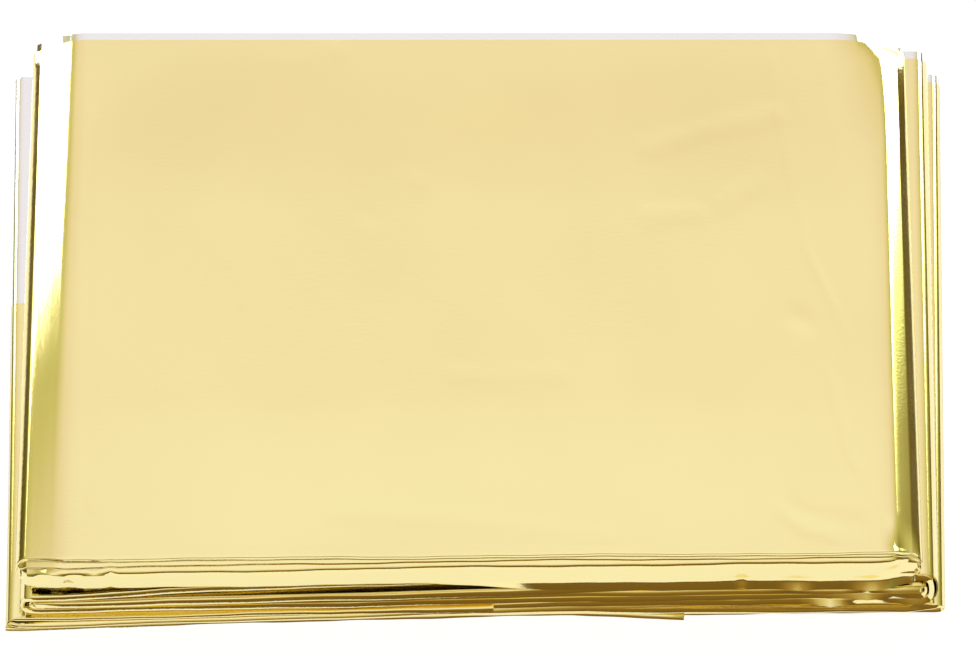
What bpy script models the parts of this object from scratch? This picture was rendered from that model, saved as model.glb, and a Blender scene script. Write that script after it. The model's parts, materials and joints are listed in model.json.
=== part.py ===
"""Emergency foil blanket, folded into its pocket-size pack.

The real blanket is one sheet of 0.012 mm film, 1.6 m by 2.1 m. It is folded front to back
into 24 plies, and that flat bundle is folded left to right into 12 layers. The top six and
the four under them are each wrapped round by the widest of their folds, and the last two lie
flat at the bottom. Here each bundle of 24 plies is 1 mm of solid sheet, so the whole blanket
is one back-and-forth section of 12 layers, a little apart, from its back to its front.
"""
import math
from collections import namedtuple

import bmesh
import bpy

MM = 0.001                   # the tables and sizes below are in millimetres

# Driving dimensions
LAYER_THICKNESS = 1.0        # one bundle of 24 plies
LAYER_GAP = 0.2              # air between two layers
FRONT_WAVE = 0.15            # how far a front edge wanders to either side of its line
CROWN = 0.45                 # how much higher the middle of the pack stands than its rim
RIM_WIDTH = 30.0             # stretch over which the top rises from rim to crown
CREASE_DEPTH = 0.20          # depth of the soft troughs pressed into the top

# How finely the sheet is divided
FOLD_SEGMENTS = 8            # round a tight fold
WRAP_SEGMENTS = 14           # round one of the wide folds that wrap other layers
LAYER_SEGMENTS = 5           # along a layer inside the pack
TOP_SEGMENTS = 36            # along the top layer, which carries the troughs
COLUMNS = 9                  # points from the back edge to the front edge of a layer
FRONT_SEGMENTS = 4           # round the folded front edge of a layer

LAYER_PITCH = LAYER_THICKNESS + LAYER_GAP
HALF = LAYER_THICKNESS / 2

# Where each layer starts and ends, from the bottom layer up: the place of its folded front
# edge at the left, middle and right of the pack, and of its back edge at the left and right.
Edge = namedtuple("Edge", "front_left front_middle front_right back_left back_right")
EDGES = (
    Edge(-46.6, -44.4, -43.9, 46.6, 46.5),
    Edge(-46.3, -44.3, -43.6, 46.5, 46.4),
    Edge(-45.9, -43.9, -43.3, 45.9, 46.0),
    Edge(-45.7, -44.0, -43.2, 46.4, 46.2),
    Edge(-45.3, -43.8, -43.0, 46.3, 46.6),
    Edge(-44.5, -43.0, -42.4, 46.4, 46.6),
    Edge(-43.4, -42.3, -41.9, 46.2, 46.4),
    Edge(-43.4, -42.3, -41.9, 46.3, 46.2),
    Edge(-44.6, -43.5, -43.0, 46.1, 46.3),
    Edge(-44.2, -43.3, -42.8, 46.0, 46.2),
    Edge(-44.0, -43.1, -42.6, 46.2, 46.3),
    Edge(-43.8, -42.8, -42.4, 46.5, 46.5),
)
LAYER_COUNT = len(EDGES)
HALF_LENGTH = 68.75          # half of the pack's left-to-right size
HALF_DEPTH = 46.6            # half of its front-to-back size

# The folds in the order in which the sheet runs, from the end inside the pack to the end
# under it: the layers that a fold joins, which side it is on, how far out its tip is at the
# back and at the front, and how deep its curve is.
Fold = namedtuple("Fold", "leaves enters side tip_back tip_front depth")
TIGHT = LAYER_PITCH / 2      # depth of a round fold between two neighbouring layers
FOLDS = (
    Fold(11, 10, +1, 57.9, 59.2, TIGHT),
    Fold(10, 9, -1, 58.6, 60.4, TIGHT),
    Fold(9, 8, +1, 57.4, 59.0, TIGHT),
    Fold(8, 12, -1, 64.9, 67.0, 8.0),
    Fold(12, 7, +1, 63.3, 65.5, 7.0),
    Fold(7, 4, -1, 64.4, 66.6, 2.4),
    Fold(4, 5, +1, 63.6, 64.4, TIGHT),
    Fold(5, 6, -1, 61.8, 63.8, TIGHT),
    Fold(6, 3, +1, 66.5, 67.4, 2.2),
    Fold(3, 2, -1, 68.3, 68.6, TIGHT),
    Fold(2, 1, +1, HALF_LENGTH, HALF_LENGTH, TIGHT),
)
INNER_END = (-55.8, -57.6)   # the cut end inside the pack, at the back and at the front
OUTER_END = (-67.9, -HALF_LENGTH)   # the cut end of the bottom layer

# Soft troughs in the top: the points that each runs through, and how wide it is.
Crease = namedtuple("Crease", "width points")
CREASES = (
    Crease(2.5, ((-56.6, 31.0), (-57.0, 0.0), (-56.8, -34.0))),
    Crease(2.5, ((44.0, 44.0), (46.0, 26.0), (49.0, 12.0), (54.0, -2.0), (54.0, -24.0))),
    Crease(2.5, ((44.5, 33.0), (35.0, 31.0), (25.0, 28.0))),
)

# One cross line of the section: its x at the back and at the front, its height, and the
# direction across the sheet there.
Station = namedtuple("Station", "x_back x_front z across_x across_z")


def mix(first, second, share):
    """Blend two numbers."""
    return first + (second - first) * share


def smooth(value):
    """Ease a number from 0 to 1, held level outside that span."""
    value = min(max(value, 0.0), 1.0)
    return value * value * (3.0 - 2.0 * value)


def layer_height(layer):
    """Height of the middle of a layer, counted from 1 at the bottom."""
    return (layer - 1) * LAYER_PITCH + HALF


def edges_at(x, z):
    """Place of the front and the back edge of the pack at this x and height."""
    level = min(max((z - HALF) / LAYER_PITCH, 0.0), LAYER_COUNT - 1.0)
    lower = min(int(level), LAYER_COUNT - 2)
    edge = Edge(*(mix(a, b, level - lower) for a, b in zip(EDGES[lower], EDGES[lower + 1])))
    across = (x + HALF_LENGTH) / (2 * HALF_LENGTH)
    left_half = mix(edge.front_left, edge.front_middle, 2 * across)
    right_half = mix(edge.front_middle, edge.front_right, 2 * across - 1)
    front = mix(left_half, right_half, across)
    wave = math.sin(0.11 * x + 1.9 * level) + 0.6 * math.sin(0.27 * x - 0.8 * level)
    front += FRONT_WAVE * wave * smooth(level)
    return front, mix(edge.back_left, edge.back_right, across)


def fold_stations(fold):
    """Stations round one fold, from the layer that it leaves to the one that it enters."""
    start = layer_height(fold.leaves)
    finish = layer_height(fold.enters)
    middle = (start + finish) / 2
    rise = (start - finish) / 2
    count = FOLD_SEGMENTS if fold.depth == TIGHT else WRAP_SEGMENTS
    stations = []
    for index in range(count + 1):
        angle = math.pi * index / count
        out = fold.depth * (math.sin(angle) - 1.0) - HALF
        across_x = abs(rise) * math.sin(angle)
        across_z = math.copysign(fold.depth, rise) * math.cos(angle)
        length = math.hypot(across_x, across_z)
        stations.append(Station(
            fold.side * (fold.tip_back + out),
            fold.side * (fold.tip_front + out),
            middle + rise * math.cos(angle),
            fold.side * across_x / length,
            across_z / length,
        ))
    return stations


def layer_stations(first, last, count):
    """Stations along the flat stretch between two others, without the two themselves."""
    return [
        Station(mix(first.x_back, last.x_back, index / count),
                mix(first.x_front, last.x_front, index / count),
                first.z, 0.0, first.across_z)
        for index in range(1, count)
    ]


def section():
    """All stations of the blanket, from its inner cut end to its outer cut end.

    A fold's own direction across the sheet points outwards. It is turned round where needed,
    so that it comes out of the same face of the sheet all the way.
    """
    path = [Station(*INNER_END, layer_height(FOLDS[0].leaves), 0.0, 1.0)]
    for fold in FOLDS:
        turn = fold_stations(fold)
        face = math.copysign(1.0, turn[0].across_z * path[-1].across_z)
        turn = [s._replace(across_x=face * s.across_x, across_z=face * s.across_z) for s in turn]
        count = TOP_SEGMENTS if fold.leaves == LAYER_COUNT else LAYER_SEGMENTS
        path += layer_stations(path[-1], turn[0], count)
        path += turn
    finish = path[-1]
    last = Station(*OUTER_END, finish.z, 0.0, finish.across_z)
    path += layer_stations(finish, last, LAYER_SEGMENTS)
    path.append(last)
    return path


def distance_to_line(x, y, points):
    """Shortest distance from a point to a line through the given points."""
    best = math.inf
    for (x1, y1), (x2, y2) in zip(points, points[1:]):
        length_squared = (x2 - x1) ** 2 + (y2 - y1) ** 2
        along = ((x - x1) * (x2 - x1) + (y - y1) * (y2 - y1)) / length_squared
        along = min(max(along, 0.0), 1.0)
        best = min(best, math.hypot(x - mix(x1, x2, along), y - mix(y1, y2, along)))
    return best


def rise_of_top(x, y):
    """How much higher the top of the pack is here than a flat one would be."""
    rim = min(HALF_LENGTH - abs(x), HALF_DEPTH - abs(y))
    height = CREASE_DEPTH + CROWN * smooth(rim / RIM_WIDTH)
    for crease in CREASES:
        near = distance_to_line(x, y, crease.points) / crease.width
        height -= CREASE_DEPTH * math.exp(-near * near)
    return height


def place(station, y, offset, front, back):
    """A point of the sheet in metres: y and the offset across the sheet give its place."""
    share = (back - y) / (back - front)
    x = mix(station.x_back, station.x_front, share) + station.across_x * offset
    z = station.z + station.across_z * offset
    top = LAYER_COUNT * LAYER_PITCH
    z += rise_of_top(x, y) * (z / top) ** 2
    return (x * MM, y * MM, z * MM)


def cross_loop(station):
    """Closed loop round the sheet at one station: square at the back, round at the front."""
    middle_x = (station.x_back + station.x_front) / 2
    front, back = edges_at(middle_x, station.z)
    flat_front = front + HALF
    face = [mix(back, flat_front, index / (COLUMNS - 1)) for index in range(COLUMNS)]
    loop = [place(station, y, HALF, front, back) for y in face]
    for index in range(1, FRONT_SEGMENTS):
        angle = math.pi * index / FRONT_SEGMENTS
        y = flat_front - HALF * math.sin(angle)
        loop.append(place(station, y, HALF * math.cos(angle), front, back))
    loop += [place(station, y, -HALF, front, back) for y in reversed(face)]
    return loop


def foil_material():
    """Gold metallised film."""
    material = bpy.data.materials.new("gold_film")
    material.use_nodes = True
    shader = material.node_tree.nodes["Principled BSDF"]
    shader.inputs["Base Color"].default_value = (0.86, 0.66, 0.22, 1.0)
    shader.inputs["Metallic"].default_value = 1.0
    shader.inputs["Roughness"].default_value = 0.18
    return material


def centre_on_origin(mesh):
    """Move the mesh so that the middle of its underside is the origin."""
    lowest = [min(vertex.co[axis] for vertex in mesh.verts) for axis in range(3)]
    highest = [max(vertex.co[axis] for vertex in mesh.verts) for axis in range(3)]
    shift = (-(lowest[0] + highest[0]) / 2, -(lowest[1] + highest[1]) / 2, -lowest[2])
    bmesh.ops.translate(mesh, verts=mesh.verts, vec=shift)


def build_blanket():
    """The folded blanket: cross loops joined along the section and closed at both ends."""
    mesh = bmesh.new()
    loops = [[mesh.verts.new(point) for point in cross_loop(s)] for s in section()]
    for near, far in zip(loops, loops[1:]):
        for index in range(len(near)):
            after = (index + 1) % len(near)
            mesh.faces.new((near[index], near[after], far[after], far[index]))
    ends = [mesh.faces.new(loops[0][::-1]), mesh.faces.new(loops[-1])]
    bmesh.ops.triangulate(mesh, faces=ends)
    bmesh.ops.recalc_face_normals(mesh, faces=mesh.faces)
    centre_on_origin(mesh)
    data = bpy.data.meshes.new("blanket")
    mesh.to_mesh(data)
    mesh.free()
    data.materials.append(foil_material())
    data.shade_smooth()
    data.set_sharp_from_angle(angle=math.radians(40))
    blanket = bpy.data.objects.new("blanket", data)
    bpy.context.scene.collection.objects.link(blanket)
    return blanket


def main():
    """Empty the scene and build the blanket."""
    for item in list(bpy.data.objects):
        bpy.data.objects.remove(item)
    build_blanket()


main()
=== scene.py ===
"""The look of the folded emergency foil blanket.

The blanket is one film of 1.6 m by 2.1 m, gold on one face and silver on the other. The
points of its flat grid are placed as they lie when it is folded front to back into 24 plies
and left to right into 12 layers, along the folds of its CAD solid. Ridges, troughs and
crumples then move them. Sizes are in millimetres unless they say otherwise.
"""
import json
import math
from collections import namedtuple

import bpy
import numpy as np
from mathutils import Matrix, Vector

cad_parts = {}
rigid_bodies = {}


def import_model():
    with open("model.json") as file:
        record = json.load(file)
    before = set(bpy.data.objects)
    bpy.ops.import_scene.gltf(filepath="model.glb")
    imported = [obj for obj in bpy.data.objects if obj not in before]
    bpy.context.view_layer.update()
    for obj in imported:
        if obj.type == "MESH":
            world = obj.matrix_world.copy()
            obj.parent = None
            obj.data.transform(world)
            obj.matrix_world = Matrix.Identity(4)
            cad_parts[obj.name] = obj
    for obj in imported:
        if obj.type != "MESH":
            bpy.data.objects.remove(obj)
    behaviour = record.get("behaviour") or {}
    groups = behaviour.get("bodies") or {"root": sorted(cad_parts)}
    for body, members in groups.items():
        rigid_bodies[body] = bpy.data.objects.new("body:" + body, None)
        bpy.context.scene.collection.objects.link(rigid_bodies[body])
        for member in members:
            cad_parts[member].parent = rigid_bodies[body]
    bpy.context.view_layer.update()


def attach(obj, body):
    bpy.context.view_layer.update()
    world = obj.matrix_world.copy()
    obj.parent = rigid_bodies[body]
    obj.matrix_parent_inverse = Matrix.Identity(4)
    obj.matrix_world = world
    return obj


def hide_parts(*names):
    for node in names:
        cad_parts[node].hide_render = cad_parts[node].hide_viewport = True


MM = 0.001

# The film, as it is cut
FILM_LENGTH = 2100.0         # across the plies, front to back in the pack
FILM_HALF_THICKNESS = 0.005
PLY_LENGTH = 89.0            # from one front-to-back fold to the next
FRONT_FOLDS = 12
PLY_COUNT = 2 * FRONT_FOLDS

# The bundle of plies and its layers, as in the CAD model
LAYER_THICKNESS = 1.0
LAYER_GAP = 0.2
LAYER_PITCH = LAYER_THICKNESS + LAYER_GAP
HALF = LAYER_THICKNESS / 2
LAYER_COUNT = 12
TOP = LAYER_COUNT
STACK_HEIGHT = LAYER_COUNT * LAYER_PITCH
HALF_LENGTH = 68.75
BACK = 46.4                  # back edge of the plies
HINGE = -40.5                # where the plies of the top leave the bundle towards the front
STRIP = 1.3                  # how far the film's cut edge lies in front of the back folds
SKIN_LIFT = 0.22             # air under the outermost ply of the top

# The sideways folds, in the order of the film: the layers that each joins, its side, how far
# out its tip is at the back and at the front, and how deep its curve is.
Fold = namedtuple("Fold", "leaves enters side tip_back tip_front depth")
TIGHT = LAYER_PITCH / 2
FOLDS = (
    Fold(11, 10, +1, 57.9, 59.2, TIGHT),
    Fold(10, 9, -1, 58.6, 60.4, TIGHT),
    Fold(9, 8, +1, 57.4, 59.0, TIGHT),
    Fold(8, 12, -1, 65.1, 67.1, 8.0),
    Fold(12, 7, +1, 63.2, 65.2, 7.0),
    Fold(7, 4, -1, 64.4, 66.6, 2.4),
    Fold(4, 5, +1, 63.6, 66.2, TIGHT),
    Fold(5, 6, -1, 61.8, 65.4, TIGHT),
    Fold(6, 3, +1, 66.8, 67.7, 1.8),
    Fold(3, 2, -1, 68.3, 68.6, 1.1),
    Fold(2, 1, +1, HALF_LENGTH, HALF_LENGTH, 1.2),
)
INNER_END = (-55.8, -57.6)
OUTER_END = (-67.9, -HALF_LENGTH)

# The shapes of the sideways folds: how far out each point is, as a share of the depth, how
# far it has come from the first layer's height to the second's, and how thick the bundle is.
Curl = namedtuple("Curl", "out height thick")
LEFT_BACK = (
    Curl(0.00, 0.00, 1), Curl(0.35, 0.00, 1), Curl(0.65, 0.00, 1), Curl(0.85, 0.01, 1),
    Curl(0.95, 0.05, 1), Curl(0.992, 0.12, 1), Curl(1.00, 0.26, 1), Curl(0.99, 0.316, 1),
    Curl(0.98, 0.331, 1), Curl(0.94, 0.390, 1), Curl(0.90, 0.449, 1), Curl(0.892, 0.460, 1),
    Curl(0.88, 0.470, 1), Curl(0.58, 0.728, 1), Curl(0.30, 0.965, 1), Curl(0.15, 0.995, 1),
    Curl(0.00, 1.00, 1),
)
LEFT_FRONT = (
    Curl(0.00, 0.00, 1), Curl(0.35, 0.00, 1), Curl(0.65, 0.00, 1), Curl(0.86, 0.01, 1),
    Curl(0.95, 0.06, 1), Curl(0.99, 0.16, 1), Curl(1.00, 0.40, 1), Curl(0.99, 0.605, 1),
    Curl(0.978, 0.623, 1), Curl(0.93, 0.693, 1), Curl(0.885, 0.760, 1), Curl(0.877, 0.771, 1),
    Curl(0.867, 0.776, 1), Curl(0.60, 0.872, 1), Curl(0.34, 0.955, 1), Curl(0.17, 0.988, 1),
    Curl(0.00, 1.00, 1),
)
RIGHT_BACK = (
    Curl(0.00, 0.00, 1.0), Curl(0.235, 0.00, 0.95), Curl(0.44, 0.015, 0.9),
    Curl(0.57, 0.04, 0.85), Curl(0.625, 0.075, 0.8), Curl(0.735, 0.155, 0.72),
    Curl(0.835, 0.235, 0.65), Curl(0.85, 0.25, 0.64), Curl(0.86, 0.265, 0.63),
    Curl(0.90, 0.326, 0.61), Curl(0.94, 0.387, 0.6), Curl(0.975, 0.44, 0.6),
    Curl(0.985, 0.455, 0.6), Curl(0.999, 0.54, 0.6), Curl(1.00, 0.65, 0.6),
    Curl(1.00, 0.77, 0.6), Curl(0.997, 0.86, 0.6), Curl(0.98, 0.94, 0.6),
    Curl(0.90, 1.01, 0.65), Curl(0.60, 1.01, 0.75), Curl(0.30, 1.005, 0.9),
    Curl(0.00, 1.00, 1.0),
)
RIGHT_FRONT = (
    Curl(0.00, 0.00, 1.0), Curl(0.20, 0.00, 1.0), Curl(0.38, 0.008, 1.0),
    Curl(0.50, 0.025, 0.95), Curl(0.56, 0.06, 0.9), Curl(0.70, 0.19, 0.85),
    Curl(0.80, 0.29, 0.8), Curl(0.815, 0.305, 0.79), Curl(0.83, 0.324, 0.78),
    Curl(0.88, 0.398, 0.75), Curl(0.93, 0.47, 0.72), Curl(0.975, 0.536, 0.7),
    Curl(0.985, 0.551, 0.69), Curl(0.999, 0.63, 0.65), Curl(1.00, 0.72, 0.65),
    Curl(1.00, 0.81, 0.65), Curl(0.997, 0.89, 0.65), Curl(0.98, 0.95, 0.65),
    Curl(0.90, 1.01, 0.7), Curl(0.60, 1.01, 0.8), Curl(0.30, 1.005, 0.9),
    Curl(0.00, 1.00, 1.0),
)
WALL = (
    Curl(0.00, 0.00, 1), Curl(0.40, 0.015, 1), Curl(0.66, 0.06, 1), Curl(0.80, 0.12, 1),
    Curl(0.90, 0.21, 1), Curl(0.96, 0.32, 1), Curl(1.00, 0.48, 1), Curl(1.00, 0.62, 1),
    Curl(0.95, 0.76, 1), Curl(0.86, 0.87, 1), Curl(0.70, 0.94, 1), Curl(0.40, 0.99, 1),
    Curl(0.00, 1.00, 1),
)
CHAMFER = (
    Curl(0.00, 0.00, 1), Curl(0.30, 0.03, 1), Curl(0.55, 0.12, 1), Curl(0.75, 0.29, 1),
    Curl(0.90, 0.47, 1), Curl(1.00, 0.68, 1), Curl(0.95, 0.86, 1), Curl(0.70, 0.96, 1),
    Curl(0.00, 1.00, 1),
)
ROUND = tuple(
    Curl(math.sin(math.pi * k / 6), (1 - math.cos(math.pi * k / 6)) / 2, 1) for k in range(7)
)
SHAPES = {(8, 12): (LEFT_BACK, LEFT_FRONT), (12, 7): (RIGHT_BACK, RIGHT_FRONT),
          (7, 4): (WALL, WALL), (6, 3): (WALL, WALL), (3, 2): (CHAMFER, CHAMFER),
          (2, 1): (CHAMFER, CHAMFER)}

# The front-to-back folds at the front of each layer, from the bottom layer up: the place of
# the leading one at the left, middle and right, which of the 12 it is, and how far behind it
# the others stay.
Front = namedtuple("Front", "left middle right leading recess")
FRONTS = (
    Front(-46.9, -44.5, -44.0, 2, 0.6),
    Front(-46.9, -44.6, -44.1, 1, 1.0),
    Front(-46.1, -44.4, -43.9, 11, 0.8),
    Front(-45.2, -44.2, -43.8, 11, 0.6),
    Front(-45.2, -44.3, -44.0, 2, 0.8),
    Front(-45.9, -45.0, -42.8, 11, 0.9),
    Front(-45.7, -43.3, -42.6, 11, 0.9),
    Front(-43.2, -42.4, -41.6, 2, 0.6),
    Front(-43.2, -42.4, -41.4, 2, 0.6),
    Front(-43.2, -42.4, -41.4, 2, 0.6),
    Front(-43.2, -42.4, -41.4, 2, 0.6),
    Front(-43.2, -42.4, -41.4, 2, 0.3),
)
# Stretches where a leading fold has slipped forward, more and more towards an abrupt end
Slip = namedtuple("Slip", "layer fold start end reach")
SLIPS = (Slip(1, 2, 14.0, 30.6, 0.95), Slip(3, 11, -70.0, 2.6, 0.5))
SLIP_EDGE = 1.7              # points this near to an abrupt end are drawn to it
LEADING_GAP = 34.0           # how far a leading fold stands open, where other plies have 1
# The four folds that come forward out of the top layer, one under the other, how far each
# stands open, and how far they draw back at the two corners
Nose = namedtuple("Nose", "left middle right")
TOP_GAPS = (34.0, 18.0, 6.0, 14.0)
CORNER_X = (-66.5, -60.0, 60.0, 65.0)
CORNER_BACK = (0.9, 0.0, 0.0, 1.4)
TOP_NOSES = (
    Nose(-43.3, -42.6, -42.0),
    Nose(-44.25, -42.95, -42.4),
    Nose(-43.9, -42.6, -42.0),
    Nose(-45.4, -43.95, -43.2),
)
# Folds that hang down in front of the layers below them as a loose lip: how far each comes
# forward of the bundle, and the height of its lower edge at the left, middle and right
Lip = namedtuple("Lip", "layer fold reach left middle right")
LIPS = (
    Lip(12, 4, 2.6, 9.0, 8.55, 7.65),
    Lip(2, 1, 1.0, 0.25, 0.25, 0.25),
)
Hang = namedtuple("Hang", "forward drop")
HANG_WALL = (
    Hang(0.00, 0.00), Hang(0.45, 0.00), Hang(0.76, 0.012), Hang(0.85, 0.035), Hang(0.905, 0.08),
    Hang(0.955, 0.145), Hang(0.985, 0.25), Hang(1.00, 0.50), Hang(1.00, 0.75),
    Hang(0.98, 0.87), Hang(0.93, 0.95), Hang(0.85, 1.00), Hang(0.76, 0.98), Hang(0.68, 0.85),
    Hang(0.62, 0.50), Hang(0.40, 0.08), Hang(0.00, 0.03),
)
HANG_FLARE = (
    Hang(0.00, 0.00), Hang(0.45, 0.00), Hang(0.76, 0.008), Hang(0.86, 0.03), Hang(0.92, 0.065),
    Hang(0.97, 0.11), Hang(0.99, 0.20), Hang(1.00, 0.50), Hang(1.00, 0.79), Hang(1.04, 0.83),
    Hang(1.20, 0.915), Hang(1.36, 1.00), Hang(1.20, 0.975), Hang(1.00, 0.88), Hang(0.80, 0.66),
    Hang(0.55, 0.28), Hang(0.00, 0.03),
)
HANG_ROLL = tuple(
    Hang(math.sin(math.pi * k / 16) ** 0.8, (1 - math.cos(math.pi * k / 16)) / 2)
    for k in range(17)
)
HANG_SLOPE = tuple(Hang(1.7 * k / 12 - 0.7, k / 12) for k in range(13)) + (
    Hang(0.90, 0.97), Hang(0.50, 0.70), Hang(0.00, 0.40), Hang(-0.70, 0.05),
)
# Each lip's form at the left and at the right, and where the one begins to become the other
HANG_FORMS = {TOP: (HANG_WALL, HANG_FLARE, -12.0), 2: (HANG_ROLL, HANG_SLOPE, 2.0)}
HANG_CHANGE = 28.0
LEAN = (0.62, 0.78)          # forward lean of the lower layers' leading folds, left and right
ACROSS = (-66.0, 0.0, 66.0)  # the x of the left, middle and right columns above

# A front fold that stands open by more than this is blunt and leans, in the top and below it
BLUNT_GAP_TOP = 0.1
BLUNT_GAP = 0.3
TAIL_STEP = 0.10             # how much further in the back folds lie, one after another

# How finely the film is divided before the visible parts are divided further
FLAT_SHARES = (0.03, 0.15, 0.38, 0.62, 0.85, 0.97)
TOP_LINES = ((-50.0, -52.0), (-30.0, -32.0), (-10.0, -10.0), (10.0, 10.0), (28.0, 30.0),
             (43.6, 50.0), (50.7, 55.0))
NOSE_SEGMENTS = (10, 4, 2, 16, 2, 2, 2, 2, 2, 2, 6, 2)
TICKS = 120                  # a cell's finest division, which every count divides

# The longest parts along the visible folds: of the top's, near the two sides and in the
# middle, and of the lower layers', where folds have slipped and elsewhere
TOP_PART_SIDES = 0.8
TOP_PART_MIDDLE = 1.6
MIDDLE_REACH = 25.0          # how far the middle reaches to each side
SLIPPED_PART = 1.6
LOWER_PART = 4.0
HIGHEST_LOWER = 7            # the highest layer whose front shows below the top
OPEN_SIDES = {2, 3, 6}       # the lower layers whose sideways folds show
# How many parts there are across the visible cells
SKIN_CUTS = 60               # the outermost ply of the top
LIP_CUTS = 3                 # between two lines of the lip
SHOULDER_CUTS = 8            # the next two plies, on the top's sideways folds
RIM_CUTS = 6                 # the film's outer plies, on the sideways folds that show
HINGE_CUTS = 4               # from a hinge of the top to its fold
HINGE_REACH = 10.0           # wider cells are whole plies


def mix(first, second, share):
    """Blend two numbers or arrays."""
    return first + (second - first) * share


def smooth(value):
    """Ease from 0 to 1, held level outside that span."""
    value = np.clip(value, 0.0, 1.0)
    return value * value * (3.0 - 2.0 * value)


def layer_height(layer):
    """Height of the middle of a layer in the even stack, counted from 1 at the bottom."""
    return (layer - 1) * LAYER_PITCH + HALF


# --- how the stack settles -------------------------------------------------------------

# Heights of the joints between the three groups of layers, in the even stack and in the
# real one, at the left and at the right
Level = namedtuple("Level", "left right")
LOWER_JOINT = Level(3.5, 2.3)
LOWER_JOINT_REAL = Level(2.0, 2.3)
UPPER_JOINT = Level(8.3, 7.1)
UPPER_JOINT_REAL = Level(8.2, 9.1)
OPENING = 1.0                # how far the middle group sinks at the front left

# How much of its height the top group keeps at its back edge, towards the right end
Keep = namedtuple("Keep", "x share")
KEEPS = (Keep(53.0, 1.0), Keep(55.8, 0.93), Keep(58.2, 0.72), Keep(60.3, 0.45), Keep(62.3, 0.22))
# Where, towards the back, it begins to sink, and where its very edge begins to curl down
KEEP_START = 27.0
EDGE_START = 42.8
EDGE_SHARE = 0.5             # how much of the sinking is in that curl


def settle(x, z, is_front):
    """Height in the real, uneven stack for a place in the even one."""
    side = smooth((x + 60.0) / 120.0)
    lower, lower_real = mix(*LOWER_JOINT, side), mix(*LOWER_JOINT_REAL, side)
    upper, upper_real = mix(*UPPER_JOINT, side), mix(*UPPER_JOINT_REAL, side)
    sink = OPENING * smooth((-48.0 - x) / 8.0) * is_front
    if z < lower:
        return lower_real * z / lower
    if z < upper:
        return lower_real + (upper_real - sink - lower_real) * (z - lower) / (upper - lower)
    return upper_real + (STACK_HEIGHT - upper_real) * (z - upper) / (STACK_HEIGHT - upper)


def settled_layer(layer, x, is_front):
    """Middle height and thickness of a layer in the real stack."""
    bottom = settle(x, layer_height(layer) - HALF, is_front)
    top = settle(x, layer_height(layer) + HALF, is_front)
    return (bottom + top) / 2, top - bottom


# --- the path of the film from left to right -------------------------------------------

# A point of the path in the pack's back or front section: its place, the bundle's thickness
# and, once the whole path is known, the direction across the film
Point = namedtuple("Point", "x z thick across_x across_z")
# One cross line of the path: its two points, the layers it lies between, and how far it is
# from the first of them
Station = namedtuple("Station", "back front leaves enters share")


def fold_point(fold, curl, is_front):
    """The point of a sideways fold in the back or the front section."""
    tip = fold.tip_front if is_front else fold.tip_back
    x = fold.side * (tip - HALF - fold.depth * (1.0 - curl.out))
    first, first_thick = settled_layer(fold.leaves, x, is_front)
    second, second_thick = settled_layer(fold.enters, x, is_front)
    height = mix(first, second, curl.height)
    thick = curl.thick * mix(first_thick, second_thick, curl.height)
    return Point(x + fold.side * curl.out * (HALF - thick / 2), height, thick, 0.0, 0.0)


def fold_stations(fold):
    """Stations round one sideways fold."""
    shapes = SHAPES.get((fold.leaves, fold.enters), (ROUND, ROUND))
    last = len(shapes[0]) - 1
    return [
        Station(fold_point(fold, back, False), fold_point(fold, front, True),
                fold.leaves, fold.enters, index / last)
        for index, (back, front) in enumerate(zip(*shapes))
    ]


def flat_station(layer, x_back, x_front):
    """A station on the flat stretch of a layer."""
    back = Point(x_back, *settled_layer(layer, x_back, False), 0.0, 0.0)
    front = Point(x_front, *settled_layer(layer, x_front, True), 0.0, 0.0)
    return Station(back, front, layer, layer, 0.0)


def flat_stations(layer, first, last):
    """Stations along a layer between two others, without the two themselves."""
    if layer == TOP:
        return [flat_station(layer, *places) for places in TOP_LINES]
    return [
        flat_station(layer, mix(first.back.x, last.back.x, share),
                     mix(first.front.x, last.front.x, share))
        for share in FLAT_SHARES
    ]


def faced(points):
    """The points of one section with the direction across the film, to its gold face."""
    places = np.array([(point.x, point.z) for point in points])
    steps = np.diff(places, axis=0)
    steps /= np.linalg.norm(steps, axis=1, keepdims=True)
    along = np.vstack([steps[:1], steps[:-1] + steps[1:], steps[-1:]])
    along /= np.linalg.norm(along, axis=1, keepdims=True)
    return [point._replace(across_x=-z, across_z=x) for point, (x, z) in zip(points, along)]


def film_path():
    """All stations, from the film's inner cut end to its outer one."""
    path = [flat_station(FOLDS[0].leaves, *INNER_END)]
    for fold in FOLDS:
        turn = fold_stations(fold)
        path += flat_stations(fold.leaves, path[-1], turn[0]) + turn
    last = flat_station(FOLDS[-1].enters, *OUTER_END)
    path += flat_stations(FOLDS[-1].enters, path[-1], last) + [last]
    backs = faced([station.back for station in path])
    fronts = faced([station.front for station in path])
    return [s._replace(back=b, front=f) for s, b, f in zip(path, backs, fronts)]


# --- the plies across the film ---------------------------------------------------------

# One line along the film: on its cut edge, on a hinge, or in a front fold (nose) or back
# fold (tail). The turn runs from -1 to 1 through a fold.
Line = namedtuple("Line", "kind fold turn flat")


def film_lines():
    """All lines along the film, from its first cut edge to its last."""
    lines = [Line("edge", 1, 0.0, 0.0)]
    for fold, segments in enumerate(NOSE_SEGMENTS, 1):
        middle = (2 * fold - 1) * PLY_LENGTH
        hinged = fold <= len(TOP_NOSES)
        if hinged:
            lines.append(Line("hinge", fold, -1.0, middle - 5.0))
        for index in range(segments + 1):
            turn = 2 * index / segments - 1
            lines.append(Line("nose", fold, turn, middle + 1.5 * turn))
        if hinged:
            lines.append(Line("hinge", fold, 1.0, middle + 5.0))
        if fold < FRONT_FOLDS:
            for turn in (-1.0, 1.0):
                lines.append(Line("tail", fold, turn, 2 * fold * PLY_LENGTH + 0.3 * turn))
    lines.append(Line("end", FRONT_FOLDS, 0.0, FILM_LENGTH))
    return lines


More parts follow.
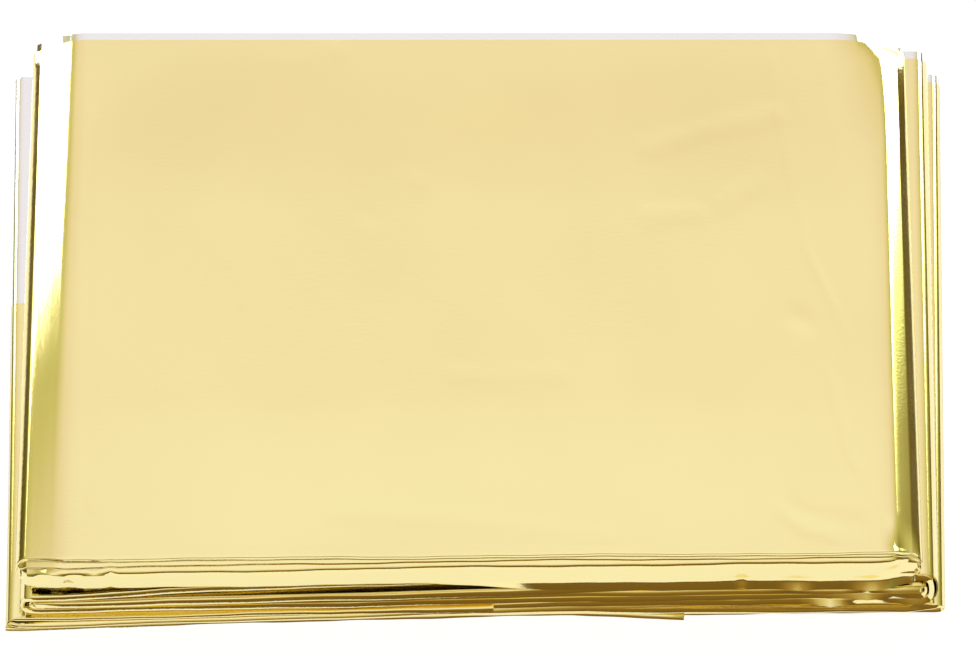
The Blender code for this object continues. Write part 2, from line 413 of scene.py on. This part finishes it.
def offsets(weights):
    """Places of the plies across a bundle of thickness 1, from the gaps between them."""
    fill = np.concatenate([[0.0], np.cumsum(weights)])
    return 0.5 - fill / fill[-1]


def bundle_front(layer, x):
    """Places of the plies at a layer's front, and how far forward its noses come."""
    front = FRONTS[layer - 1]
    weights = np.ones(PLY_COUNT - 1)
    order = np.arange(1, FRONT_FOLDS + 1)
    scatter = 0.5 + 0.5 * np.sin(2.4 * order * order + 1.3 * layer)
    noses = np.interp(x, ACROSS, front[:3]) + front.recess * (0.6 + 0.4 * scatter)
    if layer == TOP:
        for index, row in enumerate(TOP_NOSES):
            weights[2 * index] = TOP_GAPS[index]
            noses[index] = np.interp(x, ACROSS, row) + np.interp(x, CORNER_X, CORNER_BACK)
    else:
        weights[2 * front.leading - 2] = LEADING_GAP
        noses[front.leading - 1] = np.interp(x, ACROSS, front[:3])
    return offsets(weights), noses


def curve_through(rows, share):
    """Point on a smooth curve through the rows, at a share from 0 to 1 of its length."""
    place = share * (len(rows) - 1)
    index = min(int(place), len(rows) - 2)
    t = place - index
    before, start, end, after = (
        np.array(rows[min(max(index + step, 0), len(rows) - 1)]) for step in (-1, 0, 1, 2)
    )
    return 0.5 * (2 * start + (end - before) * t
                  + (2 * before - 5 * start + 4 * end - after) * t ** 2
                  + (3 * start - before - 3 * end + after) * t ** 3)


def share_of_top(station, low, high):
    """How far a station belongs to the top: 0 below the low share of a shoulder, 1 above."""
    if station.leaves == station.enters:
        return float(station.leaves == TOP)
    if TOP not in (station.leaves, station.enters):
        return 0.0
    along = station.share if station.enters == TOP else 1.0 - station.share
    return float(smooth((along - low) / (high - low)))


def upper_share(station):
    """Share, 0 to 1, by which a station has the front folds of the top layer."""
    return share_of_top(station, 0.35, 0.60)


def lip_presence(lip, station):
    """How much of a lip there is at a station."""
    if lip.layer == TOP:
        return upper_share(station)
    if station.leaves != lip.layer or station.enters != lip.layer:
        return 0.0
    return float(smooth((66.5 - abs(station.front.x)) / 4.0))


def lip_at(lip, presence, turn, x, z):
    """How far a point of a lip is behind the lip's front, and how far it hangs down."""
    share = (turn + 1.0) / 2.0
    left, right, start = HANG_FORMS[lip.layer]
    form = smooth((x - start) / HANG_CHANGE)
    forward, drop = mix(curve_through(left, share), curve_through(right, share), form)
    bottom = np.interp(x, ACROSS, (lip.left, lip.middle, lip.right))
    return lip.reach * (1.0 - forward), presence * max(z - bottom, 0.0) * drop


def lean_at(x):
    """How far the leading folds of the lower layers lean forward at their bottom."""
    return mix(LEAN[0], LEAN[1], smooth((x + 30.0) / 40.0))


def nose_place(station, line, at_front, tip):
    """A front fold's line: its y, its place between the fold's two plies, and its hang."""
    front = station.front
    ply = 2 * line.fold - 2
    swing = math.sin(math.radians(90.0 * line.turn))
    mid = (1.0 + swing) / 2.0
    gap = front.thick * (at_front[ply] - at_front[ply + 1])
    blunt = gap > (BLUNT_GAP_TOP if upper_share(station) else BLUNT_GAP)
    power = 8 if blunt else 2
    y = tip + (0.4 * gap + 0.05) * (1.0 - (1.0 - abs(swing) ** power) ** (1 / power))
    if blunt:
        above = 0.5 + (0.5 - mid) * front.across_z
        y += lean_at(front.x) * gap * above
    for lip in LIPS:
        presence = lip_presence(lip, station)
        if lip.fold == line.fold and presence > 0:
            height = front.z + front.across_z * front.thick * at_front[ply + 1]
            behind, drop = lip_at(lip, presence, line.turn, front.x, height)
            return mix(y, tip + behind, presence), (line.turn + 1.0) / 2.0, drop
    return y, mid, 0.0


def line_place(station, line, at_front, noses):
    """A line's y, its place from its ply, 0, to the next, 1, and how far it hangs down."""
    if line.kind == "nose":
        return nose_place(station, line, at_front, noses[line.fold - 1])
    if line.kind == "hinge":
        return HINGE, (1.0 + line.turn) / 2.0, 0.0
    if line.kind == "tail":
        inset = TAIL_STEP * (line.fold - 1) * (1.0 if line.fold % 2 else 0.6)
        return BACK - inset, (1.0 + line.turn) / 2.0, 0.0
    if line.kind == "edge":
        return BACK - STRIP, 0.0, 0.0
    return noses[-1] + FILM_LENGTH - (PLY_COUNT - 1) * PLY_LENGTH, 1.0, 0.0


def is_skin(line):
    """Whether a line is on the film's first ply, which lies over all others."""
    before_nose = line.fold == 1 and line.turn < 0.0 and line.kind in ("hinge", "nose")
    return line.kind == "edge" or before_nose


def cross_row(station, lines):
    """Columns x, y, z, layer, fold, reach, upper and skin of every line at one station."""
    upper, lifted = upper_share(station), share_of_top(station, 0.25, 0.40)
    share = station.share
    if TOP in (station.leaves, station.enters) and station.leaves != station.enters:
        share = upper if station.enters == TOP else 1.0 - upper
    near, near_noses = bundle_front(station.leaves, station.front.x)
    far, far_noses = bundle_front(station.enters, station.front.x)
    at_front = mix(near, far, share)
    noses = mix(near_noses, far_noses, share)
    at_back = offsets(np.ones(PLY_COUNT - 1))
    back, front = np.array([station.back, station.front])
    layer = mix(station.leaves, station.enters, station.share)
    row = []
    for line in lines:
        ply = 2 * line.fold - (1 if line.kind == "tail" else 2)
        y, mid, drop = line_place(station, line, at_front, noses)
        forward = (BACK - y) / (2 * BACK)
        x, z, thick, across_x, across_z = mix(back, front, forward)
        even = mix(at_back[ply], at_back[ply + 1], mid)
        spread = mix(at_front[ply], at_front[ply + 1], mid)
        skin = lifted * is_skin(line)
        offset = thick * mix(even, spread, forward) + SKIN_LIFT * skin
        row.append((x + across_x * offset, y, z + across_z * offset - drop,
                    layer, line.fold, float(line.kind == "nose"), upper, skin))
    return row


# --- dividing the visible parts --------------------------------------------------------

def count_for(length, target):
    """The smallest number of parts, dividing a cell evenly, that are no longer than asked."""
    allowed = [count for count in range(1, TICKS + 1) if TICKS % count == 0]
    return next((count for count in allowed if length / count <= target), TICKS)


def is_outer(start, end):
    """Whether a cell is on the film's first ply or one of its last two."""
    before_last = start.kind == "tail" and start.fold == FRONT_FOLDS - 1 and end.kind == "nose"
    return start.kind == "edge" or before_last or end.kind == "end"


def top_cuts(start, end, part, flat):
    """The longest part along a cell of the top, and the number of parts across it."""
    kinds = (start.kind, end.kind)
    width = end.flat - start.flat
    at_hinge = "hinge" in kinds and width < HINGE_REACH
    in_front = end.fold <= len(TOP_NOSES) and (kinds == ("nose", "nose") or at_hinge)
    in_tail = kinds == ("tail", "tail") and start.fold == 1
    longest = part if start.kind == "edge" or in_front or in_tail else math.inf
    if start.kind == "edge":
        return longest, SKIN_CUTS
    if kinds == ("nose", "nose") and end.fold == len(TOP_NOSES):
        return longest, LIP_CUTS
    if not flat and width > HINGE_REACH and start.fold == 1:
        return longest, SHOULDER_CUTS
    if not flat and is_outer(start, end):
        return longest, RIM_CUTS
    return longest, HINGE_CUTS if at_hinge else 1


def lower_cuts(start, end, layers, flat):
    """The longest part along a cell of the lower layers, and the number across it."""
    leading = {FRONTS[layer - 1].leading for layer in layers}
    in_front = start.kind == end.kind == "nose" and start.fold in leading
    longest = math.inf
    if in_front and flat and max(layers) <= HIGHEST_LOWER:
        longest = SLIPPED_PART if layers & {slip.layer for slip in SLIPS} else LOWER_PART
    shown_side = not flat and layers & OPEN_SIDES
    return longest, RIM_CUTS if shown_side and is_outer(start, end) else 1


def cell_cuts(path, lines):
    """How many parts each grid cell is divided into, along and across the film."""
    along = np.ones((len(path) - 1, len(lines) - 1), int)
    across = np.ones_like(along)
    for i, (near, far) in enumerate(zip(path, path[1:])):
        length = math.dist(near.front[:2], far.front[:2])
        beside = abs(near.front.x + far.front.x) / 2 > MIDDLE_REACH
        part = TOP_PART_SIDES if beside else TOP_PART_MIDDLE
        flat = near.leaves == near.enters or far.leaves == far.enters
        layers = {near.leaves, near.enters, far.leaves, far.enters}
        top = upper_share(near) > 0 or upper_share(far) > 0
        for j, (start, end) in enumerate(zip(lines, lines[1:])):
            longest, across[i, j] = (top_cuts(start, end, part, flat) if top
                                     else lower_cuts(start, end, layers, flat))
            along[i, j] = count_for(length, longest)
    return along, across


def ticks(start, end, counts):
    """Both ends of a side and, between them, the ticks of its neighbours' divisions."""
    found = {start, end}
    for count in counts:
        step = TICKS // count
        found.update(range(start - start % step, end + 1, step))
    return [tick for tick in sorted(found) if start <= tick <= end]


def part_outline(u, v, step_u, step_v, neighbours):
    """Points round one part of a cell, in ticks from the cell's corner.

    The neighbours are the counts of the cells below, above, before and after it.
    """
    u2, v2 = u + step_u, v + step_v
    below, above, before, after = neighbours
    bottom = ticks(u, u2, below if v == 0 else [])
    top = ticks(u, u2, above if v2 == TICKS else [])
    near = ticks(v, v2, before if u == 0 else [])
    far = ticks(v, v2, after if u2 == TICKS else [])
    return ([(t, v) for t in bottom] + [(u2, t) for t in far[1:]]
            + [(t, v2) for t in top[-2::-1]] + [(u, t) for t in near[-2:0:-1]])


def numbered(place, numbers, points):
    """The number of a point given in ticks, which is added where it is new."""
    if place not in numbers:
        numbers[place] = len(points)
        points.append((place[0] / TICKS, place[1] / TICKS))
    return numbers[place]


def divided_grid(along, across):
    """Points, in cell coordinates, and faces of the grid with its cells divided.

    A cell whose neighbour is divided more finely takes over its points on their common
    side, and is then split from its middle, so that the film has no cracks.
    """
    points, numbers, faces = [], {}, []
    rows, columns = along.shape
    for i, j in np.ndindex(rows, columns):
        base_u, base_v = i * TICKS, j * TICKS
        step_u, step_v = TICKS // along[i, j], TICKS // across[i, j]
        neighbours = (
            [along[i, j - 1]] if j > 0 else [],
            [along[i, j + 1]] if j < columns - 1 else [],
            [across[i - 1, j]] if i > 0 else [],
            [across[i + 1, j]] if i < rows - 1 else [],
        )
        parts = [(u, v) for u in range(0, TICKS, step_u) for v in range(0, TICKS, step_v)]
        for u, v in parts:
            outline = part_outline(u, v, step_u, step_v, neighbours)
            loop = [numbered((base_u + x, base_v + y), numbers, points) for x, y in outline]
            if len(loop) == 4:
                faces.append(loop)
                continue
            centre = len(points)
            points.append(((base_u + u + step_u / 2) / TICKS, (base_v + v + step_v / 2) / TICKS))
            faces += [[a, b, centre] for a, b in zip(loop, loop[1:] + loop[:1])]
    return np.array(points), faces


def sample(grid, points):
    """Values of the grid's columns at points in cell coordinates."""
    cell = np.minimum(points.astype(int), np.array(grid.shape[:2]) - 2)
    u, v = (points - cell).T[:, :, None]
    i, j = cell.T
    low = mix(grid[i, j], grid[i + 1, j], u)
    high = mix(grid[i, j + 1], grid[i + 1, j + 1], u)
    return mix(low, high, v)


# --- creasing --------------------------------------------------------------------------

CROWN = 0.35                 # how much higher the middle of the pack stands than its rim
RIM_WIDTH = 30.0             # stretch over which the top rises from rim to crown
SWELL = 0.02                 # height of the top's soft swells
WANDER = 0.08                # how far the front folds wander
# How fast the top's front folds sink as they come forward, the y at the right end from which
# they do, and how fast that line comes forward towards the left end
SAG = 0.07
SAG_FROM = -42.4
SAG_SKEW = 0.013

# Soft troughs (negative) and ridges in the top: how high, how wide, and their points
Crease = namedtuple("Crease", "height width points")
CREASES = (
    Crease(-0.03, 0.5, ((-56.3, 33.0), (-56.9, 20.0), (-57.0, 0.0), (-56.6, -34.0))),
    Crease(-0.03, 0.5, ((43.6, 43.0), (44.5, 33.0), (46.3, 22.7), (48.5, 9.2), (52.9, -1.0),
                        (54.0, -4.4), (52.1, -12.1), (54.0, -23.0), (55.8, -28.2))),
    Crease(-0.02, 0.5, ((50.7, 43.0), (52.4, 31.2), (54.3, 21.0), (55.8, 9.2))),
    Crease(-0.04, 1.0, ((44.5, 32.1), (34.0, 29.5), (25.1, 26.1))),
    Crease(-0.03, 0.9, ((41.8, 20.5), (36.0, 16.8))),
    Crease(-0.03, 0.9, ((33.0, 15.6), (25.1, 14.6))),
    Crease(-0.02, 1.0, ((-3.8, -12.1), (4.0, -12.7), (12.4, -12.1))),
    Crease(-0.03, 0.9, ((-8.9, 20.5), (-8.0, 20.2))),
    Crease(0.03, 0.9, ((-16.0, 15.0), (-15.2, 14.8))),
    Crease(-0.03, 0.9, ((-20.7, 44.0), (-20.2, 43.0))),
    Crease(0.05, 1.4, ((47.2, -2.4), (48.2, -3.0))),
    Crease(-0.025, 1.0, ((-21.4, -35.0), (6.5, -37.6), (19.8, -39.2))),
    Crease(-0.04, 1.0, ((44.8, -35.0), (47.5, -37.5), (52.0, -38.6))),
    Crease(0.04, 1.0, ((46.5, -34.6), (50.5, -36.4), (56.0, -37.0))),
)


# Crumples, as pyramids pushed into or out of the film: the only front fold that moves, or 0
# for all, the place of the tip, how far it reaches to each side along x, y and z, and how far
# the tip moves
Crumple = namedtuple("Crumple", "fold x y z width depth height move_x move_y move_z")
CRUMPLES = (
    # the pinch and the loose end of the lip at the front left
    Crumple(0, -53.3, -44.8, 11.6, 1.0, 3.0, 6.0, 0.0, 0.35, 0.0),
    Crumple(4, -61.9, -45.2, 12.7, 2.6, 1.9, 1.6, 0.0, -0.4, 1.1),
    Crumple(4, -64.2, -45.4, 10.2, 2.2, 3.0, 2.2, 0.0, -0.5, 0.0),
    Crumple(4, -59.4, -45.3, 10.2, 2.0, 3.0, 2.0, 0.0, 0.5, 0.3),
    Crumple(4, -55.6, -45.2, 12.7, 2.4, 1.9, 1.4, 0.0, -0.3, 0.9),
    # the crushed corner at the back left
    Crumple(0, -63.9, 44.4, 11.2, 1.6, 2.4, 2.4, 0.0, 0.0, -0.8),
    Crumple(0, -61.5, 46.4, 12.9, 1.5, 1.4, 2.0, 0.0, 0.0, 0.4),
    # the pressed corner at the front right
    Crumple(0, 62.2, -40.2, 13.2, 2.4, 3.6, 3.4, 0.0, 0.0, -0.75),
    Crumple(0, 63.4, -42.4, 12.2, 2.0, 2.2, 2.4, -0.3, 0.4, -0.6),
    Crumple(4, 61.0, -43.4, 10.8, 2.6, 2.4, 2.0, 0.2, 0.5, -0.2),
    Crumple(4, 64.0, -43.4, 9.0, 1.6, 2.4, 1.6, 0.0, -0.8, -0.3),
    Crumple(4, 38.9, -43.6, 8.8, 1.2, 2.6, 2.2, 0.0, 0.5, 0.0),
    # the crushed folds of the middle group at the front right
    Crumple(0, 47.0, -44.6, 7.4, 3.0, 3.0, 1.4, 0.0, -0.5, 0.3),
    Crumple(0, 52.0, -44.6, 6.2, 5.0, 3.0, 1.3, 0.3, -0.7, 0.4),
    Crumple(0, 58.0, -44.4, 7.2, 4.0, 3.0, 1.6, 0.0, -0.6, 0.4),
    Crumple(0, 62.5, -44.4, 5.6, 3.0, 3.0, 1.6, -0.2, -0.7, 0.3),
    Crumple(0, 64.5, -44.2, 3.0, 3.2, 3.0, 1.6, 0.0, -0.6, -0.2),
    Crumple(0, 47.5, -44.2, 1.9, 3.5, 2.5, 0.9, 0.0, -0.9, 0.1),
    Crumple(0, 52.0, -44.2, 2.9, 4.0, 2.5, 0.9, 0.0, -0.9, 0.1),
    Crumple(0, 56.5, -44.2, 4.0, 4.5, 2.5, 0.9, 0.0, -0.8, 0.0),
)


def tent(distance, width):
    """1 at no distance, falling evenly to 0 at the width."""
    return np.maximum(1.0 - np.abs(distance) / width, 0.0)


def crumpled(places, fold):
    """The places after the crumples have moved them."""
    moved = places.copy()
    for item in CRUMPLES:
        x, y, z = places.T
        share = (tent(x - item.x, item.width) * tent(y - item.y, item.depth)
                 * tent(z - item.z, item.height))
        if item.fold:
            share = share * (np.abs(fold - item.fold) < 0.01)
        moved += share[:, None] * np.array([item.move_x, item.move_y, item.move_z])
    return moved


def distance_to_line(x, y, points):
    """Shortest distance from places to a line through the given points."""
    best = np.full(x.shape, np.inf)
    for (x1, y1), (x2, y2) in zip(points, points[1:]):
        length_squared = (x2 - x1) ** 2 + (y2 - y1) ** 2
        along = ((x - x1) * (x2 - x1) + (y - y1) * (y2 - y1)) / length_squared
        along = np.clip(along, 0.0, 1.0)
        best = np.minimum(best, np.hypot(x - mix(x1, x2, along), y - mix(y1, y2, along)))
    return best


def waves(x, layer, fold):
    """How far a front fold wanders to either side of its line."""
    return (np.sin(0.13 * x + 1.7 * layer + 0.9 * fold)
            + 0.6 * np.sin(0.31 * x - 0.8 * layer + 2.1 * fold)
            + 0.3 * np.sin(0.83 * x + 2.9 * layer - 1.3 * fold))


def top_relief(x, y):
    """Height of the crown, the soft swells and the creases of the top."""
    rim_x, rim_y = HALF_LENGTH - np.abs(x), BACK - np.abs(y)
    height = CROWN * smooth(rim_x / RIM_WIDTH) * smooth(rim_y / RIM_WIDTH)
    for crease in CREASES:
        near = distance_to_line(x, y, crease.points) / crease.width
        height += crease.height * np.exp(-near * near)
    swell = np.sin(0.16 * x + 0.9 * np.sin(0.07 * y)) * np.sin(0.11 * y + 0.05 * x)
    return height + SWELL * swell * smooth(rim_x / 10.0) * smooth(rim_y / 10.0)


def slipped(x, y, layer, fold, reach):
    """The x and y of points after some front folds have slipped forward."""
    for slip in SLIPS:
        along = (x - slip.start) / (slip.end - slip.start)
        here = (reach > 0) * (np.abs(layer - slip.layer) < 0.01) * (np.abs(fold - slip.fold) < 0.01)
        y = y - here * (along > 0) * (x < slip.end) * slip.reach * along
        near = here * (np.abs(x - slip.end) < SLIP_EDGE)
        x = x + near * 0.9 * (slip.end - x)
    return x, y


def shape(values):
    """Places of the film's points in the finished pack."""
    x, y, z, layer, fold, reach, upper, skin = values.T
    y = y - WANDER * reach * waves(x, layer, fold)
    x, y = slipped(x, y, layer, fold, reach)
    before_front = np.maximum(SAG_FROM - SAG_SKEW * (ACROSS[2] - x) - y, 0.0)
    z = z - upper * SAG * before_front ** 2
    z = z + skin * top_relief(x, y)
    keep = np.interp(x, *zip(*KEEPS))
    ramp = np.clip((y - KEEP_START) / (BACK - KEEP_START), 0.0, 1.0) ** 2
    curl = np.clip((y - EDGE_START) / (BACK - EDGE_START), 0.0, 1.0) ** 2
    sunk = (1.0 - keep) * mix(ramp, curl, EDGE_SHARE)
    z = z - sunk * np.maximum(z - UPPER_JOINT_REAL.right, 0.0)
    return crumpled(np.column_stack([x, y, z]), fold)


# --- the mesh --------------------------------------------------------------------------

def point_normals(places, triangles):
    """Smooth normals at the points of a triangle mesh."""
    a, b, c = (places[triangles[:, k]] for k in range(3))
    face = np.cross(b - a, c - a)
    total = np.zeros_like(places)
    for k in range(3):
        np.add.at(total, triangles[:, k], face)
    length = np.linalg.norm(total, axis=1, keepdims=True)
    return total / np.maximum(length, 1e-12)


def rim_edges(faces):
    """The open edges of the film, each in the direction of its face."""
    edges = {}
    for face in faces:
        for a, b in zip(face, face[1:] + face[:1]):
            edges[a, b] = True
    return [(a, b) for a, b in edges if (b, a) not in edges]


def in_triangles(faces):
    """The faces with every four-sided one split in two."""
    split = []
    for face in faces:
        if len(face) == 4:
            split += [face[:3], [face[0], face[2], face[3]]]
        else:
            split.append(face)
    return split


def build_film():
    """The film as one thin closed mesh: gold face, silver face and the rim between them."""
    path, lines = film_path(), film_lines()
    grid = np.array([cross_row(station, lines) for station in path])
    points, faces = divided_grid(*cell_cuts(path, lines))
    values = sample(grid, points)
    places = shape(values)
    faces = in_triangles(faces)
    normals = point_normals(places, np.array(faces))
    skin = values[:, -1] > 0.99
    if normals[skin, 2].mean() < 0:
        faces = [face[::-1] for face in faces]
        normals = -normals
    count = len(places)
    both = np.vstack([places + FILM_HALF_THICKNESS * normals,
                      places - FILM_HALF_THICKNESS * normals])
    under = [[count + n for n in face[::-1]] for face in faces]
    rim = [[b, a, count + a, count + b] for a, b in rim_edges(faces)]
    data = bpy.data.meshes.new("foil_blanket")
    data.from_pydata((both * MM).tolist(), [], faces + under + rim)
    slots = np.zeros(len(data.polygons), int)
    slots[len(faces):] = 1
    data.materials.append(gold_film())
    data.materials.append(silver_film())
    data.polygons.foreach_set("material_index", slots)
    data.shade_smooth()
    data.set_sharp_from_angle(angle=math.radians(60.0))
    data.update()
    film = bpy.data.objects.new("foil_blanket", data)
    bpy.context.scene.collection.objects.link(film)
    return film


# --- materials -------------------------------------------------------------------------

GOLD = (0.93, 0.815, 0.40)
SILVER = (0.90, 0.90, 0.91)
GRAIN_SCALE = 2400.0         # of the fine dimples that stipple the reflections, per metre
GRAIN_STRENGTH = 0.035
GRAIN_DEPTH = 0.0002         # in metres
CLOUD_SCALE = 45.0           # of the slow changes of tint and polish, per metre
TINT = (0.985, 1.015)        # darkest and lightest share of the colour
POLISH = (0.08, 0.13)        # lowest and highest roughness


def add_noise(tree, place, scale, detail):
    """Procedural noise over the object's own coordinates."""
    noise = tree.nodes.new("ShaderNodeTexNoise")
    noise.inputs["Scale"].default_value = scale
    noise.inputs["Detail"].default_value = detail
    tree.links.new(place, noise.inputs["Vector"])
    return noise.outputs["Fac"]


def add_range(tree, value, low, high):
    """The noise's usual span stretched to the span from low to high."""
    span = tree.nodes.new("ShaderNodeMapRange")
    span.inputs["From Min"].default_value = 0.3
    span.inputs["From Max"].default_value = 0.7
    span.inputs["To Min"].default_value = low
    span.inputs["To Max"].default_value = high
    tree.links.new(value, span.inputs["Value"])
    return span.outputs["Result"]


def film_material(name, colour):
    """Mirror-bright metallised film: cloudy in tint and polish, with a fine grain."""
    material = bpy.data.materials.new(name)
    material.use_nodes = True
    tree = material.node_tree
    shader = tree.nodes["Principled BSDF"]
    shader.inputs["Metallic"].default_value = 1.0
    place = tree.nodes.new("ShaderNodeTexCoord").outputs["Object"]
    cloud = add_noise(tree, place, CLOUD_SCALE, 2.0)
    tint = tree.nodes.new("ShaderNodeMix")
    tint.data_type = "RGBA"
    tint.inputs["A"].default_value = (*(TINT[0] * part for part in colour), 1.0)
    tint.inputs["B"].default_value = (*(TINT[1] * part for part in colour), 1.0)
    tree.links.new(add_range(tree, cloud, 0.0, 1.0), tint.inputs["Factor"])
    tree.links.new(tint.outputs["Result"], shader.inputs["Base Color"])
    tree.links.new(add_range(tree, cloud, *POLISH), shader.inputs["Roughness"])
    bump = tree.nodes.new("ShaderNodeBump")
    bump.inputs["Strength"].default_value = GRAIN_STRENGTH
    bump.inputs["Distance"].default_value = GRAIN_DEPTH
    tree.links.new(add_noise(tree, place, GRAIN_SCALE, 3.0), bump.inputs["Height"])
    tree.links.new(bump.outputs["Normal"], shader.inputs["Normal"])
    return material


def gold_film():
    """The gold face."""
    return film_material("gold_film", GOLD)


def silver_film():
    """The silver face and the cut edges."""
    return film_material("silver_film", SILVER)


# --- floor, light and camera -----------------------------------------------------------

CAMERA_ELEVATION = 60.0      # in degrees above the surface
CAMERA_DISTANCE = 3.5875     # in metres
CAMERA_LENS = 900.0
SENSOR = 36.0
TARGET = Vector((1.84, -0.1, 7.0)) * MM
FLOOR_REACH = 3.0            # in metres to each side
FLOOR_COLOUR = (0.18, 0.18, 0.19)
FLOOR_GLOW = 0.91            # lifts the plain floor to the white of the studio


def add_floor():
    """A plain pale floor under the pack."""
    data = bpy.data.meshes.new("floor")
    signs = ((-1, -1), (1, -1), (1, 1), (-1, 1))
    corners = [(FLOOR_REACH * x, FLOOR_REACH * y, 0.0) for x, y in signs]
    data.from_pydata(corners, [], [(0, 1, 2, 3)])
    floor = bpy.data.objects.new("floor", data)
    bpy.context.scene.collection.objects.link(floor)
    material = bpy.data.materials.new("floor")
    material.use_nodes = True
    shader = material.node_tree.nodes["Principled BSDF"]
    shader.inputs["Base Color"].default_value = (*FLOOR_COLOUR, 1.0)
    shader.inputs["Roughness"].default_value = 0.9
    shader.inputs["Emission Color"].default_value = (1.0, 1.0, 1.0, 1.0)
    shader.inputs["Emission Strength"].default_value = FLOOR_GLOW
    data.materials.append(material)


# Brightness of the studio by height above the horizon, as stops of a colour ramp
Stop = namedtuple("Stop", "height colour")
STUDIO_BACK = (
    Stop(0.00, (0.12, 0.08, 0.02)), Stop(0.24, (0.30, 0.28, 0.09)),
    Stop(0.58, (0.78, 0.69, 0.41)), Stop(0.80, (0.88, 0.80, 0.70)),
    Stop(0.842, (0.92, 0.84, 0.83)), Stop(0.888, (1.00, 1.00, 1.00)),
)
STUDIO_FRONT = (
    Stop(0.00, (0.13, 0.075, 0.012)), Stop(0.35, (0.25, 0.15, 0.03)),
    Stop(0.60, (0.40, 0.27, 0.08)), Stop(0.80, (0.72, 0.62, 0.32)), Stop(0.93, (1.0, 1.0, 1.0)),
)
STUDIO_SIDE = (
    Stop(0.00, (0.08, 0.05, 0.012)), Stop(0.15, (0.19, 0.145, 0.04)),
    Stop(0.30, (0.28, 0.26, 0.08)), Stop(0.45, (0.42, 0.39, 0.15)),
    Stop(0.70, (0.62, 0.60, 0.28)), Stop(0.85, (0.86, 0.78, 0.60)),
)


def add_ramp(tree, height, stops):
    """A colour ramp over the height of the viewed direction."""
    ramp = tree.nodes.new("ShaderNodeValToRGB")
    tree.links.new(height, ramp.inputs["Fac"])
    elements = ramp.color_ramp.elements
    while len(elements) < len(stops):
        elements.new(0.5)
    for element, stop in zip(elements, stops):
        element.position = stop.height
        element.color = (*stop.colour, 1.0)
    return ramp.outputs["Color"]


def add_blend(tree, value, low, high, first, second):
    """A colour that goes from the first to the second as the value goes from low to high."""
    share = tree.nodes.new("ShaderNodeMapRange")
    share.inputs["From Min"].default_value = low
    share.inputs["From Max"].default_value = high
    tree.links.new(value, share.inputs["Value"])
    blend = tree.nodes.new("ShaderNodeMix")
    blend.data_type = "RGBA"
    tree.links.new(share.outputs["Result"], blend.inputs["Factor"])
    tree.links.new(first, blend.inputs["A"])
    tree.links.new(second, blend.inputs["B"])
    return blend.outputs["Result"]


def add_world():
    """Soft studio light: pale above, dim and warm round the front and the horizon."""
    world = bpy.data.worlds.new("studio")
    bpy.context.scene.world = world
    world.use_nodes = True
    tree = world.node_tree
    place = tree.nodes.new("ShaderNodeTexCoord")
    split = tree.nodes.new("ShaderNodeSeparateXYZ")
    tree.links.new(place.outputs["Generated"], split.inputs["Vector"])
    aside = tree.nodes.new("ShaderNodeMath")
    aside.operation = "ABSOLUTE"
    tree.links.new(split.outputs["X"], aside.inputs[0])
    front, back, side = (
        add_ramp(tree, split.outputs["Z"], stops)
        for stops in (STUDIO_FRONT, STUDIO_BACK, STUDIO_SIDE)
    )
    room = add_blend(tree, split.outputs["Y"], -0.25, 0.25, front, back)
    room = add_blend(tree, aside.outputs["Value"], 0.30, 0.55, room, side)
    tree.links.new(room, tree.nodes["Background"].inputs["Color"])


# Softboxes, in metres: on which side and how far from the middle, where each starts and ends
# from front to back and from low to high, its radiance and its colour
Box = namedtuple("Box", "name side away front back low high radiance colour")
ENERGY = 4.0                 # light energy for a radiance of 1 over one square metre
WHITE = (1.0, 1.0, 1.0)
FILL = (0.83, 1.0, 0.52)
SOFTBOXES = (
    Box("softbox_left", -1, 0.383, 0.244, 0.80, 0.09, 0.335, 4.0, WHITE),
    Box("softbox_right", +1, 0.383, 0.244, 0.80, 0.10, 0.335, 4.0, WHITE),
    Box("low_left", -1, 0.383, 0.33, 0.80, 0.002, 0.09, 4.0, WHITE),
    Box("low_right", +1, 0.383, 0.33, 0.80, 0.002, 0.10, 4.0, WHITE),
    Box("fill_left", -1, 0.383, 0.205, 0.243, 0.10, 0.335, 0.75, FILL),
    Box("fill_right", +1, 0.383, 0.212, 0.243, 0.10, 0.335, 0.75, FILL),
)


def add_softboxes():
    """Soft lights along the left and the right."""
    for box in SOFTBOXES:
        light = bpy.data.lights.new(box.name, "AREA")
        light.shape = "RECTANGLE"
        light.size = box.back - box.front
        light.size_y = box.high - box.low
        light.energy = ENERGY * light.size * light.size_y * box.radiance
        light.color = box.colour
        lamp = bpy.data.objects.new(box.name, light)
        lamp.location = (box.side * box.away, (box.front + box.back) / 2, (box.low + box.high) / 2)
        lamp.rotation_euler = Vector((-box.side, 0, 0)).to_track_quat("-Z", "Y").to_euler()
        bpy.context.scene.collection.objects.link(lamp)


def add_camera():
    """A long lens that looks down on the pack from the front."""
    data = bpy.data.cameras.new("camera")
    data.lens = CAMERA_LENS
    data.sensor_width = SENSOR
    data.clip_start, data.clip_end = 0.5, 20.0
    camera = bpy.data.objects.new("camera", data)
    angle = math.radians(CAMERA_ELEVATION)
    back = Vector((0.0, -math.cos(angle), math.sin(angle)))
    camera.location = TARGET + CAMERA_DISTANCE * back
    camera.rotation_euler = (-back).to_track_quat("-Z", "Y").to_euler()
    bpy.context.scene.collection.objects.link(camera)
    bpy.context.scene.camera = camera


for item in list(bpy.data.objects):
    bpy.data.objects.remove(item)
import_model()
add_camera()
add_floor()
add_world()
add_softboxes()
bpy.context.scene.view_settings.view_transform = "Standard"
blanket = build_film()
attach(blanket, "root")
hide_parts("blanket")
